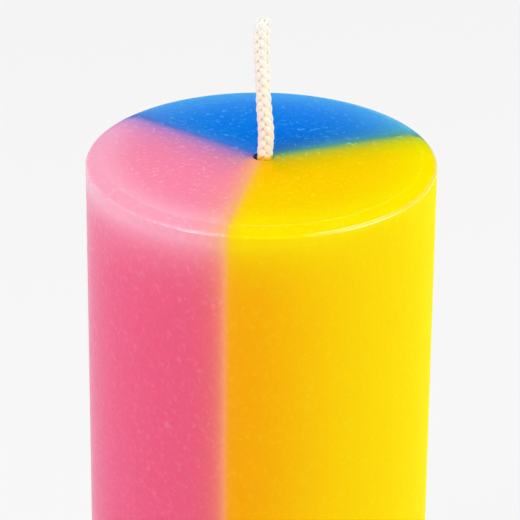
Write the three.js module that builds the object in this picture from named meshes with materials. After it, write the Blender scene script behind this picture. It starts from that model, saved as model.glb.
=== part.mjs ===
// Pillar candle poured in three coloured wedges round one braided cotton wick.
//
// Millimetres, +Z up. The origin is the centre of the base, and the candle stands on Z = 0.
// Angles are counted from +X towards +Y, and the side that faces the viewer is -Y.
//
// The wax is three separate pours, pink, yellow and blue, that meet in three upright seams
// and share the wick's bore between them. The wick is a square plait of twelve strands, three
// over and three under, and each strand is a solid of its own. A stamped steel sustainer in a
// recess of the base grips the wick's lower end.
import * as THREE from "three";

const { degToRad, lerp, smoothstep } = THREE.MathUtils;

// Candle body
const candleDiameter = 70;
const candleHeight = 150;
const plateauDiameter = 63.6;
const plateauStep = 0.22;
const plateauStepRun = 0.35;
const bandFall = 0.83;
const shoulderRadius = 0.45;
const baseEdgeRadius = 1;

// Azimuths of the seams in degrees, and the hairline between two pours
const yellowBlueSeam = 21.5;
const bluePinkSeam = 142;
const pinkYellowSeam = 259;
const seamGap = 0.1;

// Strands of the wick, and the plait that they make
const strandThickness = 0.45;
const strandGap = 0.1;
const strandLead = 12.3;
const lobeGap = 0.16;
const braidCoreDiameter = 0.66;
const braidDepthInBore = 4;
const buriedWidthShare = 0.75;

// The wick in its bore and above it
const wickFreeLength = 29.8;
const wickTipRounding = 0.8;
const wickTipTaper = 0.12;
const faceTurnAtMouth = 45;
const faceTurnAtTip = 17;
const mouthClearance = 0.55;
const wickSideGap = 0.15;

// Sustainer, and the room that it has in the base
const tabDiameter = 20;
const sheetThickness = 0.35;
const neckHeight = 6;
const neckFillet = 0.8;
const neckSlip = 0.1;
const crimpDepth = 0.25;
const crimpCount = 4;
const neckClearance = 0.55;
const tabSetback = 0.4;
const tabHeadroom = 0.3;
const tabRimClearance = 0.6;
const wickEndInset = 0.2;

// How finely the round forms are divided
const bodyFacets = 80;
const neckFacets = 40;
const shoulderSteps = 4;
const edgeSteps = 4;
const filletSteps = 4;
const strandSides = 8;
const strandStep = 0.75;

// The square plait: six strands climb one way and six the other. In every half turn a strand
// crosses all six of the other way, three over and three under, so it lies outside on two
// opposite faces of the wick and inside on the two faces between them.
const strandsEachWay = 6;
const crossingAngle = Math.PI / strandsEachWay;
const lobeHeight = strandLead / strandsEachWay;

// A wave with flat crests, so that a strand stays well out or in through all its crossings
// on one face. It goes once round in half a turn, and is highest beside its middle crossing.
const crestFlatness = 1 / 6;
const flatWave = (angle) =>
  (Math.cos(angle) - crestFlatness * Math.cos(3 * angle)) / (1 - crestFlatness);
const waveCrest = flatWave(crossingAngle);
const waveAtLastCrossing = flatWave(2 * crossingAngle);

// The braid is as thick as its core and two layers of strands, which clear each other at
// the crossings nearest the corners
const strandSwing = (strandThickness + strandGap) / (2 * waveAtLastCrossing);
const weaveRadius = braidCoreDiameter / 2 + strandThickness / 2 + strandSwing * waveCrest;
const wickRadius = weaveRadius + strandSwing * waveCrest + strandThickness / 2;

// The angle between a strand and the wick's axis grows with its radius, and the strand
// spreads until it almost meets the next one that runs the same way
const climbAngle = (radius) => Math.atan((2 * Math.PI * radius) / strandLead);
const strandWidth = (radius) => lobeHeight * Math.sin(climbAngle(radius)) - lobeGap;

// Heights and radii that follow from the sizes above
const wickTop = candleHeight + wickFreeLength;
const braidStart = candleHeight - braidDepthInBore;
const neckInnerRadius = wickRadius + neckSlip;
const neckOuterRadius = neckInnerRadius + sheetThickness;
const tabUnderside = tabSetback;
const neckTop = tabUnderside + neckHeight;
const recessDepth = tabSetback + sheetThickness + tabHeadroom;
const recessRadius = tabDiameter / 2 + tabRimClearance;
const boreMouthRadius = wickRadius + mouthClearance;
const boreBaseRadius = neckOuterRadius + neckClearance;

// The free stretch of the wick at even heights, from the mouth of the bore to the tip: how
// far its middle leans in X and Y, and its girth against the plain braid
const wickPosture = new THREE.CatmullRomCurve3(
  [
    [mouthClearance - wickSideGap, -0.1, 1.04],
    [0.78, -0.1, 1.08],
    [0.46, 0, 1.02],
    [0.17, 0.1, 0.98],
    [-0.02, 0.1, 1.0],
    [-0.18, 0, 1.06],
    [-0.06, 0, 1.06],
  ].map(([leanX, leanY, girth]) => new THREE.Vector3(leanX, leanY, girth)),
  false,
  "catmullrom",
);

const waxMaterial = (name, color) =>
  new THREE.MeshStandardMaterial({ name, color, roughness: 0.42, metalness: 0 });

const pinkWax = waxMaterial("pink wax", 0xf58ca8);
const yellowWax = waxMaterial("yellow wax", 0xfbd80c);
const blueWax = waxMaterial("blue wax", 0x1478e0);
const cotton = new THREE.MeshStandardMaterial({
  name: "bleached cotton",
  color: 0xf8f0e0,
  roughness: 0.9,
  metalness: 0,
});
const tinPlate = new THREE.MeshStandardMaterial({
  name: "tin-plated steel",
  color: 0xb9bcc0,
  roughness: 0.3,
  metalness: 1,
});

// Points on an arc, counted in degrees from +X, both ends included
function arc(centreX, centreY, radius, from, to, steps) {
  return Array.from({ length: steps + 1 }, (_, step) => {
    const angle = degToRad(lerp(from, to, step / steps));
    const x = centreX + radius * Math.cos(angle);
    const y = centreY + radius * Math.sin(angle);
    return new THREE.Vector2(x, y);
  });
}

// Six times the volume that a list of triangles encloses, positive where they face outwards
function enclosed(points, faces) {
  let sum = 0;
  for (let i = 0; i < faces.length; i += 3) {
    const [a, b, c] = faces.slice(i, i + 3).map((index) => points[index]);
    sum += a.dot(new THREE.Vector3().crossVectors(b, c));
  }
  return sum;
}

// A closed body through a row of rings with equally many points. With a cap outline, which
// has a point for each of theirs, the end rings are closed by flat caps. Without one the last
// ring joins the first.
function skin(rings, capOutline) {
  const size = rings[0].length;
  const points = rings.flat();
  const faces = [];
  const bands = capOutline ? rings.length - 1 : rings.length;
  for (let band = 0; band < bands; band++) {
    const near = band * size;
    const far = ((band + 1) % rings.length) * size;
    for (let side = 0; side < size; side++) {
      const next = (side + 1) % size;
      faces.push(near + side, near + next, far + next);
      faces.push(near + side, far + next, far + side);
    }
  }
  if (capOutline) {
    const last = points.length - size;
    const turn = THREE.ShapeUtils.area(capOutline);
    for (const [a, b, c] of THREE.ShapeUtils.triangulateShape(capOutline, [])) {
      const corners = [capOutline[a], capOutline[b], capOutline[c]];
      const [second, third] = THREE.ShapeUtils.area(corners) * turn > 0 ? [b, c] : [c, b];
      faces.push(a, third, second);
      faces.push(last + a, last + second, last + third);
    }
  }
  if (enclosed(points, faces) < 0) {
    faces.reverse();
  }
  const geometry = new THREE.BufferGeometry().setFromPoints(points);
  geometry.setIndex(faces);
  geometry.computeVertexNormals();
  return geometry;
}

// Half of the candle's upright section: bore, recess, base, side, shoulder, band, plateau
function waxProfile() {
  const bodyRadius = candleDiameter / 2;
  const bandEdge = candleHeight - plateauStep - bandFall;
  return [
    new THREE.Vector2(boreMouthRadius, candleHeight),
    new THREE.Vector2(boreBaseRadius, recessDepth),
    new THREE.Vector2(recessRadius, recessDepth),
    new THREE.Vector2(recessRadius, 0),
    ...arc(bodyRadius - baseEdgeRadius, baseEdgeRadius, baseEdgeRadius, -90, 0, edgeSteps),
    ...arc(
      bodyRadius - shoulderRadius,
      bandEdge - shoulderRadius,
      shoulderRadius,
      0,
      90,
      shoulderSteps,
    ),
    new THREE.Vector2(plateauDiameter / 2 + plateauStepRun, candleHeight - plateauStep),
    new THREE.Vector2(plateauDiameter / 2, candleHeight),
  ];
}

// One pour: the profile turned from seam to seam, with each seam face set back by half the
// hairline. Between the seams the facets lie where a whole candle's would, so that corners
// fall on the X and Y axes.
function waxWedge(fromSeam, toSeam) {
  const profile = waxProfile();
  const facetAngle = 360 / bodyFacets;
  const inner = [];
  for (let facet = Math.ceil(fromSeam / facetAngle); facet * facetAngle < toSeam; facet++) {
    const azimuth = facet * facetAngle;
    if (Math.min(azimuth - fromSeam, toSeam - azimuth) > facetAngle / 4) {
      inner.push(azimuth);
    }
  }
  const ring = (azimuth, setback) => {
    const angle = degToRad(azimuth);
    const outward = new THREE.Vector3(Math.cos(angle), Math.sin(angle), 0);
    const along = new THREE.Vector3(-outward.y, outward.x, 0);
    return profile.map(({ x: radius, y: height }) =>
      new THREE.Vector3(0, 0, height).addScaledVector(outward, radius).addScaledVector(along, setback),
    );
  };
  const rings = [
    ring(fromSeam, seamGap / 2),
    ...inner.map((azimuth) => ring(azimuth, 0)),
    ring(toSeam, -seamGap / 2),
  ];
  return skin(rings, profile);
}

// Where a point of the straight, even braid lies on the real wick, which turns, leans, swells
// and is rounded at its tip. The move depends on the height alone, so strands that are clear
// of each other stay clear.
function posed(x, y, height) {
  const free = THREE.MathUtils.clamp((height - candleHeight) / wickFreeLength, 0, 1);
  const rise = THREE.MathUtils.clamp((height - neckTop) / (candleHeight - neckTop), 0, 1);
  const posture = wickPosture.getPoint(free);
  const intoTip = Math.max(0, 1 - (wickTop - height) / wickTipRounding);
  const girth = lerp(1, posture.z, rise) * (1 - wickTipTaper * intoTip ** 2);
  return new THREE.Vector3(x, y, 0)
    .applyAxisAngle(new THREE.Vector3(0, 0, 1), degToRad(lerp(faceTurnAtMouth, faceTurnAtTip, free)))
    .multiplyScalar(girth)
    .add(new THREE.Vector3(posture.x * rise, posture.y * rise, height));
}

// The outline of a strand round its own middle, from -1 to 1 each way
const strandOutline = arc(0, 0, 1, 0, 360 - 360 / strandSides, strandSides - 1);

// One strand, from the sustainer to the tip. It climbs one way round the wick (way = 1) or
// the other (-1). Deep in the bore it runs straight and a little narrower, in the place at
// which the plait leaves it.
function wickStrand(way, place) {
  const startAngle = (2 * place + way / 2) * crossingAngle;
  const section = (height, flatEnd) => {
    const above = Math.max(0, height - braidStart);
    const ramp = Math.min(above, lobeHeight);
    const climbed = above - ramp + ramp ** 2 / (2 * lobeHeight);
    const turned = startAngle + (way * 2 * Math.PI * climbed) / strandLead;
    const radius = weaveRadius + strandSwing * way * flatWave(2 * turned);
    const tilt = Math.atan((ramp / lobeHeight) * Math.tan(climbAngle(radius)));
    const braided = smoothstep(height, braidStart - lobeHeight, braidStart + lobeHeight);
    const halfWidth = (strandWidth(radius) * lerp(buriedWidthShare, 1, braided)) / 2;
    return strandOutline.map(({ x: across, y: out }) => {
      const angle = turned + (across * halfWidth * Math.cos(tilt)) / radius;
      const reach = radius + (out * strandThickness) / 2;
      const drop = flatEnd ? 0 : way * across * halfWidth * Math.sin(tilt);
      return posed(reach * Math.cos(angle), reach * Math.sin(angle), height - drop);
    });
  };
  const buried = [tabUnderside + wickEndInset, neckTop, braidStart - lobeHeight];
  const steps = Math.round((wickTop - braidStart) / strandStep);
  const rings = buried.map((height) => section(height, true));
  for (let step = 0; step <= steps; step++) {
    rings.push(section(lerp(braidStart, wickTop, step / steps), step === steps));
  }
  return skin(rings, strandOutline);
}

// Section of the stamped sheet: the disc, the fillet and the neck, all of one thickness
function sustainerProfile() {
  const filletX = neckOuterRadius + neckFillet;
  const filletY = tabUnderside + sheetThickness + neckFillet;
  return [
    new THREE.Vector2(tabDiameter / 2, tabUnderside),
    new THREE.Vector2(tabDiameter / 2, tabUnderside + sheetThickness),
    ...arc(filletX, filletY, neckFillet, 270, 180, filletSteps),
    new THREE.Vector2(neckOuterRadius, (filletY + neckTop) / 2),
    new THREE.Vector2(neckOuterRadius, neckTop),
    new THREE.Vector2(neckInnerRadius, neckTop),
    new THREE.Vector2(neckInnerRadius, (filletY + neckTop) / 2),
    ...arc(filletX, filletY, neckFillet + sheetThickness, 180, 270, filletSteps),
  ];
}

// The sustainer: its neck is crimped at even places, between the strands that lie outermost
function sustainer() {
  const profile = sustainerProfile();
  const crimpStart = tabUnderside + sheetThickness + neckFillet;
  const betweenFaces = Math.PI / 4 + crossingAngle / 2 + degToRad(faceTurnAtMouth);
  const rings = Array.from({ length: neckFacets }, (_, facet) => {
    const angle = (facet * 2 * Math.PI) / neckFacets;
    const dent = (0.5 + 0.5 * Math.cos(crimpCount * (angle - betweenFaces))) ** 2;
    return profile.map(({ x: radius, y: height }) => {
      const up = smoothstep(height, crimpStart, neckTop);
      const reach = radius - crimpDepth * dent * up;
      return new THREE.Vector3(reach * Math.cos(angle), reach * Math.sin(angle), height);
    });
  });
  return skin(rings);
}

const candle = new THREE.Group();

function add(name, geometry, material) {
  const mesh = new THREE.Mesh(geometry, material);
  mesh.name = name;
  candle.add(mesh);
}

add("pink_wax", waxWedge(bluePinkSeam, pinkYellowSeam), pinkWax);
add("yellow_wax", waxWedge(pinkYellowSeam, yellowBlueSeam + 360), yellowWax);
add("blue_wax", waxWedge(yellowBlueSeam, bluePinkSeam), blueWax);
add("wick_sustainer", sustainer(), tinPlate);
for (let strand = 0; strand < 2 * strandsEachWay; strand++) {
  const way = strand % 2 === 0 ? 1 : -1;
  add(`wick_strand_${strand + 1}`, wickStrand(way, Math.floor(strand / 2)), cotton);
}

export default candle;
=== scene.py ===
"""Looks of a pillar candle of three coloured waxes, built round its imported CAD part.

Metres, in the part's own frame: +Z up, the origin in the centre of the base, -Y towards the
viewer. Sizes are written in millimetres and turned to metres where a mesh is made.

The wax is three pours that meet in upright seams, the wick is a square plait of twelve cotton
strands, and a stamped tin-plate sustainer holds the wick's lower end.
"""

from __future__ import annotations

import logging
import math
from dataclasses import dataclass
from enum import Enum
from typing import Any, ClassVar, Sequence

import bpy
import numpy as np
from mathutils import Matrix, Vector

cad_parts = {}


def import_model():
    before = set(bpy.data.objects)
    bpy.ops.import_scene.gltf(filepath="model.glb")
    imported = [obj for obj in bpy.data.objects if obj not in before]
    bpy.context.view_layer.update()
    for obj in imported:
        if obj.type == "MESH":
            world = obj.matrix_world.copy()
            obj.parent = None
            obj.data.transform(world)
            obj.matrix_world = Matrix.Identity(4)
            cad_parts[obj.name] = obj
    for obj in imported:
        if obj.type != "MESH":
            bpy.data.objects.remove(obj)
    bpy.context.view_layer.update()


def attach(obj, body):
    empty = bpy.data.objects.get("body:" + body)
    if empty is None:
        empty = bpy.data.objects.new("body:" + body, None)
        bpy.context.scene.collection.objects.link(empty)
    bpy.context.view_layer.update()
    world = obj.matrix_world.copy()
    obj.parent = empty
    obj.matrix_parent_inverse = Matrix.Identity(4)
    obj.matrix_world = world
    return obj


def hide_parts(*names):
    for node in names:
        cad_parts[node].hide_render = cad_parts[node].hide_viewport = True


MM = 0.001

# The node types in most use, and the settings of a range that eases in and out
MATH = "ShaderNodeMath"
VECTOR_MATH = "ShaderNodeVectorMath"
MAP_RANGE = "ShaderNodeMapRange"
MIX = "ShaderNodeMix"
STORE = "GeometryNodeStoreNamedAttribute"
SMOOTH = {"interpolation_type": "SMOOTHSTEP"}

LOG = logging.getLogger("candle")


def linear(colour: str, alpha: float = 1.0) -> tuple[float, float, float, float]:
    """Turns an sRGB hex colour to linear RGBA.

    Args:
        colour: six hex digits, without a hash sign.
        alpha: the fourth number.

    Returns:
        Linear red, green, blue and alpha.
    """
    parts = [int(colour[i : i + 2], 16) / 255 for i in (0, 2, 4)]
    red, green, blue = [c / 12.92 if c <= 0.04045 else ((c + 0.055) / 1.055) ** 2.4 for c in parts]
    return red, green, blue, alpha


def add_node(tree: bpy.types.NodeTree, kind: str, inputs: Any = (), **settings: Any) -> bpy.types.Node:
    """Adds one node to a shader or geometry tree, with its settings and links.

    Args:
        tree: the tree that gets the node.
        kind: the node's type name.
        inputs: a list for the sockets in use, in order, or a dict by socket name. Each is a
            number, a colour, a socket or a node, whose first output in use is then taken.
        settings: the node's own properties.

    Returns:
        The new node.
    """
    node = tree.nodes.new(kind)
    for name, value in settings.items():
        setattr(node, name, value)
    in_use = [socket for socket in node.inputs if socket.enabled]
    if isinstance(inputs, dict):
        by_name = {socket.name: socket for socket in reversed(in_use)}
        pairs = [(by_name[name], value) for name, value in inputs.items()]
    else:
        pairs = list(zip(in_use, inputs))
    for socket, value in pairs:
        if isinstance(value, bpy.types.Node):
            value = next(output for output in value.outputs if output.enabled)
        if isinstance(value, bpy.types.NodeSocket):
            tree.links.new(value, socket)
        else:
            socket.default_value = value
    return node


def fall_off(
    tree: bpy.types.NodeTree, distance: Any, reach: float, sharpness: float = 1.0
) -> bpy.types.Node:
    """Works out how a glow fades: 1 at its source and 1/e where the distance is its reach.

    Args:
        tree: the material's tree.
        distance: the distance from the source.
        reach: how far the glow reaches.
        sharpness: 1 for an even fade, more for one that holds on and then drops.

    Returns:
        The node that gives the share.
    """
    share = add_node(tree, MATH, [distance, reach], operation="DIVIDE")
    share = add_node(tree, MATH, [share, sharpness], operation="POWER")
    return add_node(tree, MATH, [math.exp(-1), share], operation="POWER")


def smooth_step(value: np.ndarray, start: float, end: float) -> np.ndarray:
    """Rises smoothly from 0 at start to 1 at end."""
    share = np.clip((value - start) / (end - start), 0, 1)
    return share * share * (3 - 2 * share)


def arc(
    centre: tuple[float, float], radius: float, start: float, end: float, steps: int
) -> list[tuple[float, float]]:
    """Lists the points of an arc, both ends included.

    Args:
        centre: its centre.
        radius: its radius.
        start: the first angle in degrees, counted from +X.
        end: the last angle.
        steps: how many chords it has.

    Returns:
        The points, in order.
    """
    angles = np.radians(np.linspace(start, end, steps + 1))
    return [(centre[0] + radius * math.cos(a), centre[1] + radius * math.sin(a)) for a in angles]


def mesh_piece(
    name: str, points: np.ndarray, faces: list[Sequence[int]], crease: float = 40
) -> bpy.types.Object:
    """Makes a piece from points in millimetres, at the origin, with its faces outwards.

    Args:
        name: the name of the piece.
        points: its corners, one row each, in millimetres.
        faces: its faces, as lists of corners.
        crease: edges that turn by more degrees than this stay sharp.

    Returns:
        The piece, linked to the scene.
    """
    mesh = bpy.data.meshes.new(name)
    mesh.from_pydata((points * MM).tolist(), [], [list(face) for face in faces])
    mesh.validate()
    mesh.update()
    mesh.calc_loop_triangles()
    corners = np.array([[mesh.vertices[i].co for i in t.vertices] for t in mesh.loop_triangles])
    if np.einsum("ij,ij->", corners[:, 0], np.cross(corners[:, 1], corners[:, 2])) < 0:
        mesh.flip_normals()
    mesh.shade_smooth()
    mesh.set_sharp_from_angle(angle=math.radians(crease))
    piece = bpy.data.objects.new(name, mesh)
    bpy.context.scene.collection.objects.link(piece)
    return piece


def ring_faces(size: int, rings: int, steps: int) -> list[Sequence[int]]:
    """Joins rings of points with quads, each ring to the next.

    Args:
        size: how many points each ring has.
        rings: how many rings there are.
        steps: how many gaps are bridged: as many as rings where they close on themselves.

    Returns:
        The faces.
    """
    faces: list[Sequence[int]] = []
    for ring in range(steps):
        near, far = ring * size, (ring + 1) % rings * size
        for side in range(size):
            after = (side + 1) % size
            faces.append((near + side, near + after, far + after, far + side))
    return faces


def new_material(name: str) -> tuple[bpy.types.Material, bpy.types.NodeTree]:
    """Makes a material with an empty tree.

    Args:
        name: its name.

    Returns:
        The material and its tree.
    """
    material = bpy.data.materials.new(name)
    material.use_nodes = True
    material.node_tree.nodes.clear()
    return material, material.node_tree


def place_piece(piece: bpy.types.Object, node: str) -> None:
    """Puts a piece in the frame, in place of a CAD node.

    Args:
        piece: the piece.
        node: the CAD node that it replaces.
    """
    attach(piece, "root")
    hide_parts(node)
    LOG.info("%s: %d faces", piece.name, len(piece.data.polygons))


class Pour(Enum):
    """The three pours of wax: the CAD node that each one is, and its seams in degrees."""

    PINK = ("pink_wax", 142.0, 259.0)
    YELLOW = ("yellow_wax", 259.0, 381.5)
    BLUE = ("blue_wax", 21.5, 142.0)

    @property
    def node(self) -> str:
        """The CAD node and material slot of this pour."""
        return self.value[0]

    @property
    def seams(self) -> tuple[float, float]:
        """The azimuths of its first and last seam, in degrees."""
        return self.value[1], self.value[2]


@dataclass(frozen=True)
class Bleed:
    """How the colour of the next pour shows through near a seam.

    Light wanders through both waxes there. What one dye absorbs dies out fast and the rest
    travels for millimetres, so each of red, green and blue has its own reach.
    """

    side: str
    top: str
    reach: tuple[float, float, float]


@dataclass(frozen=True)
class Scratch:
    """A straight thin scrape in the wax, from one place to another in millimetres."""

    start: tuple[float, float, float]
    end: tuple[float, float, float]
    width: float = 0.16
    strength: float = 0.45

    def mask(self, tree: bpy.types.NodeTree, place: Any) -> bpy.types.Node:
        """Works out how much of the scrape is at a place, from 0 to its strength.

        Args:
            tree: the material's tree.
            place: the place of the surface, in millimetres.

        Returns:
            The node that gives it.
        """
        start, along = Vector(self.start), Vector(self.end) - Vector(self.start)
        offset = add_node(tree, VECTOR_MATH, [place, start], operation="SUBTRACT")
        travelled = add_node(
            tree, VECTOR_MATH, [offset, along / along.length_squared], operation="DOT_PRODUCT"
        )
        travelled = add_node(tree, "ShaderNodeClamp", [travelled])
        nearest = add_node(tree, VECTOR_MATH, [tuple(along), travelled], operation="SCALE")
        away = add_node(tree, VECTOR_MATH, [offset, nearest], operation="DISTANCE")
        limits = {
            "Value": away, "From Min": self.width, "From Max": self.width / 3, "To Max": self.strength
        }
        return add_node(tree, MAP_RANGE, limits, **SMOOTH)


@dataclass(frozen=True)
class PouredWax:
    """Dyed paraffin wax, poured into a smooth mould and left to set.

    The wax scatters light, and that light is painted into its colour: a painted glow makes it
    palest at the rim, where light enters on two sides, and it is deepest low on the side, while
    painted shade deepens it near its first seam and round the wick. Small crystals make pale
    flecks and bent strokes in it, most of all on the open top. The edge that the mould shaped is
    smooth and shines in a thin line, more than wax does as a rule, so its coat's IOR is above
    that of paraffin. A painted highlight runs along that edge too, and along the lip in front.

    Reaches, sizes, drops below the edge's top, insets from the side and lines' half widths are
    in millimetres. Bands are values of the noise between which something comes in.
    """

    name: str
    side: str
    # Painted light in the colours: the side deepens near the first seam and the top round the wick,
    # both painted shade, and the rim's colour is a painted glow
    seam_shade: str
    plateau: str
    core: str
    rim: str
    bleeds: tuple[Bleed, Bleed]
    bloom: str
    bloom_on_top: float
    bloom_on_side: float
    scatter: tuple[float, float, float]
    side_gloss: float
    top_gloss: float = 0.01
    lip_gloss: float = 0.4
    rim_gloss: float = 1.0
    rim_width: float = 2.0
    rim_depth: float = 2.3
    rim_reach: float = 5.5
    rim_falloff: float = 2.0
    side_reach: float = 4.0
    base_glow: float = 0.35
    core_reach: float = 10.0
    seam_shade_reach: float = 19.0
    scatter_depth: float = 0.5
    solid_at_seam: float = 2.0
    bore_shade: float = 4.0
    roughness: float = 0.45
    roughness_spread: float = 0.08
    relief_height: float = 0.03
    coat_ior: float = 1.85
    coat_roughness: float = 0.08
    stroke_size: float = 1.3
    fleck_size: float = 1.4
    speck_size: float = 0.5
    patches_per_stroke: float = 1.1
    stroke_line: float = 0.08
    stroke_band: tuple[float, float] = (0.53, 0.7)
    fleck_spot: tuple[float, float] = (0.06, 0.2)
    speck_spot: tuple[float, float] = (0.1, 0.25)
    dark_spots: float = 0.55
    cloud_band: tuple[float, float] = (0.42, 0.7)
    dull_band: tuple[float, float] = (0.4, 0.75)
    dull_share: float = 0.5
    top_fade: float = 0.5
    grain_size: float = 0.35
    cloudiness: float = 0.04
    polished_from: float = -40.0
    polish_fade: float = 7.0
    polish_drop: tuple[float, float] = (0.75, 0.45)
    polish_inset: tuple[float, float] = (0.8, 0.45)
    edge_highlight_drop: float = 0.15
    edge_highlight_line: tuple[float, float] = (0.3, 0.05)
    edge_highlight_inset: tuple[float, float] = (1.0, 0.6)
    edge_highlight_breaks: tuple[float, float] = (0.62, 0.42)
    edge_highlight_between: float = 0.1
    lip_inset: float = 0.1
    lip_line: tuple[float, float] = (0.4, 0.05)
    lip_front: tuple[float, float] = (-13.0, -22.0)
    lip_breaks: tuple[float, float] = (0.3, 0.7)
    lip_between: float = 0.4
    edge_highlight_paint: float = 0.3
    lip_highlight_paint: float = 0.12
    scratches: tuple[Scratch, ...] = ()

    def material(self, pour: Pour, body: WaxBody) -> bpy.types.Material:
        """Builds the wax as a node material.

        Args:
            pour: the pour that it is for, which gives the seams.
            body: the candle's body, which gives the places of the rim and the lip.

        Returns:
            The material.
        """
        material, tree = new_material(self.name)
        place = add_node(tree, "ShaderNodeTexCoord").outputs["Object"]
        place = add_node(tree, VECTOR_MATH, [place, 1 / MM], operation="SCALE")
        across = add_node(tree, VECTOR_MATH, [place, (1, 1, 0)], operation="MULTIPLY")
        radius = add_node(tree, VECTOR_MATH, [across], operation="LENGTH")
        height = add_node(tree, "ShaderNodeSeparateXYZ", [place]).outputs["Z"]
        depth = add_node(tree, MATH, [body.height, height], operation="SUBTRACT")
        limits = {
            "Value": depth, "From Min": body.edge_depth + self.top_fade, "From Max": body.edge_depth
        }
        on_top = add_node(tree, MAP_RANGE, limits, **SMOOTH)
        frames, start = self.seam_frames(pour), body.bore_mouth_radius
        distances = [self.seam_distance(tree, across, frame, start) for frame in frames]
        colour = self.dyed(tree, radius, depth, on_top, distances, body)

        # Large soft patches break up the crystals, the painted highlights and the shine
        patch = {
            "Vector": place,
            "Scale": self.patches_per_stroke / self.stroke_size,
            "Detail": 2.0,
            "Distortion": 0.6,
        }
        patch = add_node(tree, "ShaderNodeTexNoise", patch).outputs["Fac"]
        crystals = self.crystals(tree, place, patch)
        specks = self.scattered(tree, place, self.speck_size, *self.speck_spot)
        grain = {"Vector": place, "Scale": 1 / self.grain_size, "Detail": 2.0}
        grain = add_node(tree, "ShaderNodeTexNoise", grain).outputs["Fac"]
        whiteness = add_node(tree, MATH, [crystals, specks], operation="MAXIMUM")
        amount = add_node(tree, MIX, [on_top, self.bloom_on_side, self.bloom_on_top], data_type="FLOAT")
        whiteness = add_node(tree, MATH, [whiteness, amount], operation="MULTIPLY")
        clouds = {"Value": patch, "From Min": self.cloud_band[0], "From Max": self.cloud_band[1]}
        clouds = add_node(tree, MAP_RANGE, clouds, **SMOOTH)
        whiteness = add_node(tree, MATH, [clouds, self.cloudiness, whiteness], operation="MULTIPLY_ADD")
        # Painted highlights: a thin pale line along the moulded edge, and one along the lip in front,
        # mixed into the colour with the crystals
        edge = self.painted_edge_highlight(tree, radius, depth, patch, body)
        lip = self.painted_lip_highlight(tree, place, radius, on_top, patch, body)
        for share, painted_strength in ((edge, self.edge_highlight_paint), (lip, self.lip_highlight_paint)):
            whiteness = add_node(tree, MATH, [share, painted_strength, whiteness], operation="MULTIPLY_ADD")
        for scratch in self.scratches:
            whiteness = add_node(tree, MATH, [whiteness, scratch.mask(tree, place)], operation="ADD")
        whiteness = add_node(tree, "ShaderNodeClamp", [whiteness])
        colour = add_node(tree, MIX, [whiteness, colour, linear(self.bloom)], data_type="RGBA")

        # Gloss: least on the open top and most on the moulded edge, with dull patches
        plain = add_node(tree, MIX, [on_top, self.side_gloss, self.top_gloss], data_type="FLOAT")
        low, high = (body.edge_depth + drop for drop in self.polish_drop)
        limits = {"Value": depth, "From Min": low, "From Max": high}
        moulded = add_node(tree, MAP_RANGE, limits, **SMOOTH)
        inner, outer = (body.diameter / 2 - inset for inset in self.polish_inset)
        limits = {"Value": radius, "From Min": inner, "From Max": outer}
        outside = add_node(tree, MAP_RANGE, limits, **SMOOTH)
        moulded = add_node(tree, MATH, [moulded, outside], operation="MULTIPLY")
        sideways = add_node(tree, "ShaderNodeSeparateXYZ", [place]).outputs["X"]
        full = self.polished_from + self.polish_fade
        limits = {"Value": sideways, "From Min": self.polished_from, "From Max": full}
        polished = add_node(tree, MAP_RANGE, limits, **SMOOTH)
        moulded = add_node(tree, MATH, [moulded, polished], operation="MULTIPLY")
        shine = add_node(tree, MATH, [lip, self.lip_gloss], operation="MULTIPLY")
        shine = add_node(tree, MATH, [moulded, shine], operation="MAXIMUM")
        shine = add_node(tree, MIX, [shine, plain, self.rim_gloss], data_type="FLOAT")
        dull = {"Value": patch, "From Min": self.dull_band[0], "From Max": self.dull_band[1]}
        dull |= {"To Min": 1.0, "To Max": self.dull_share}
        dull = add_node(tree, MAP_RANGE, dull, **SMOOTH)
        coat = add_node(tree, MATH, [shine, dull], operation="MULTIPLY")

        # The pours are separate shells here, so light wanders less where they meet
        nearest = add_node(tree, MATH, distances, operation="MINIMUM")
        wandering = {"Value": nearest, "From Max": self.solid_at_seam}
        wandering = add_node(tree, MAP_RANGE, wandering, **SMOOTH)
        relief = add_node(tree, MATH, [crystals, grain], operation="ADD")
        bump = add_node(
            tree,
            "ShaderNodeBump",
            {"Strength": 0.25, "Distance": self.relief_height * MM, "Height": relief},
        )
        rough = {"Value": grain, "To Min": self.roughness - self.roughness_spread}
        rough |= {"To Max": self.roughness + self.roughness_spread}
        surface = {
            "Base Color": colour,
            "Roughness": add_node(tree, MAP_RANGE, rough),
            "Normal": bump,
            "Subsurface Weight": wandering,
            "Subsurface Radius": self.scatter,
            "Subsurface Scale": self.scatter_depth * MM,
            "Specular IOR Level": 0.0,
            "Coat Weight": coat,
            "Coat Roughness": self.coat_roughness,
            "Coat IOR": self.coat_ior,
        }
        surface = add_node(tree, "ShaderNodeBsdfPrincipled", surface)
        add_node(tree, "ShaderNodeOutputMaterial", [surface])
        return material

    def seam_frames(self, pour: Pour) -> list[tuple[Vector, Vector]]:
        """Lists the directions of a pour's seams: across each, into the pour, and along it."""
        first, last = (math.radians(azimuth) for azimuth in pour.seams)
        frames = []
        for azimuth, side in ((first, 1), (last, -1)):
            across = Vector((-side * math.sin(azimuth), side * math.cos(azimuth), 0))
            frames.append((across, Vector((math.cos(azimuth), math.sin(azimuth), 0))))
        return frames

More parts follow.
